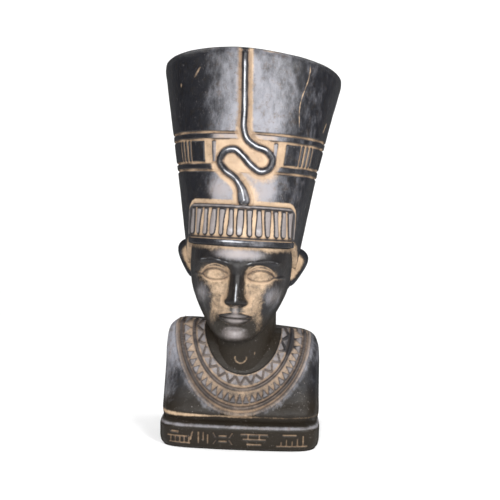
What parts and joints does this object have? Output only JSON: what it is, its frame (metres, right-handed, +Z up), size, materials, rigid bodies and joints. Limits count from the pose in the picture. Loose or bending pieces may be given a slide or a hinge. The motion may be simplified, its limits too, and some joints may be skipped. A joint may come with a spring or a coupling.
{
  "type": "statuette",
  "caption": "Souvenir bust of an Egyptian queen in a tall flat-topped crown with ribbon band, cobra, pleated brow band and broad collar, cast as one piece with its plinth.",
  "frame": {"origin": "middle of the plinth's flat underside", "axes": "+Z up the bust, the face looks along -Y, +X to the viewer's right"},
  "size_m": [0.0983, 0.0987, 0.2013],
  "materials": {
    "cast_resin": "mineral-filled cast resin in dark blue-grey, worn satin with pale tan patina in the carving"
  },
  "bodies": {
    "root": {"queen_bust": "cast_resin"}
  },
  "joints": []
}
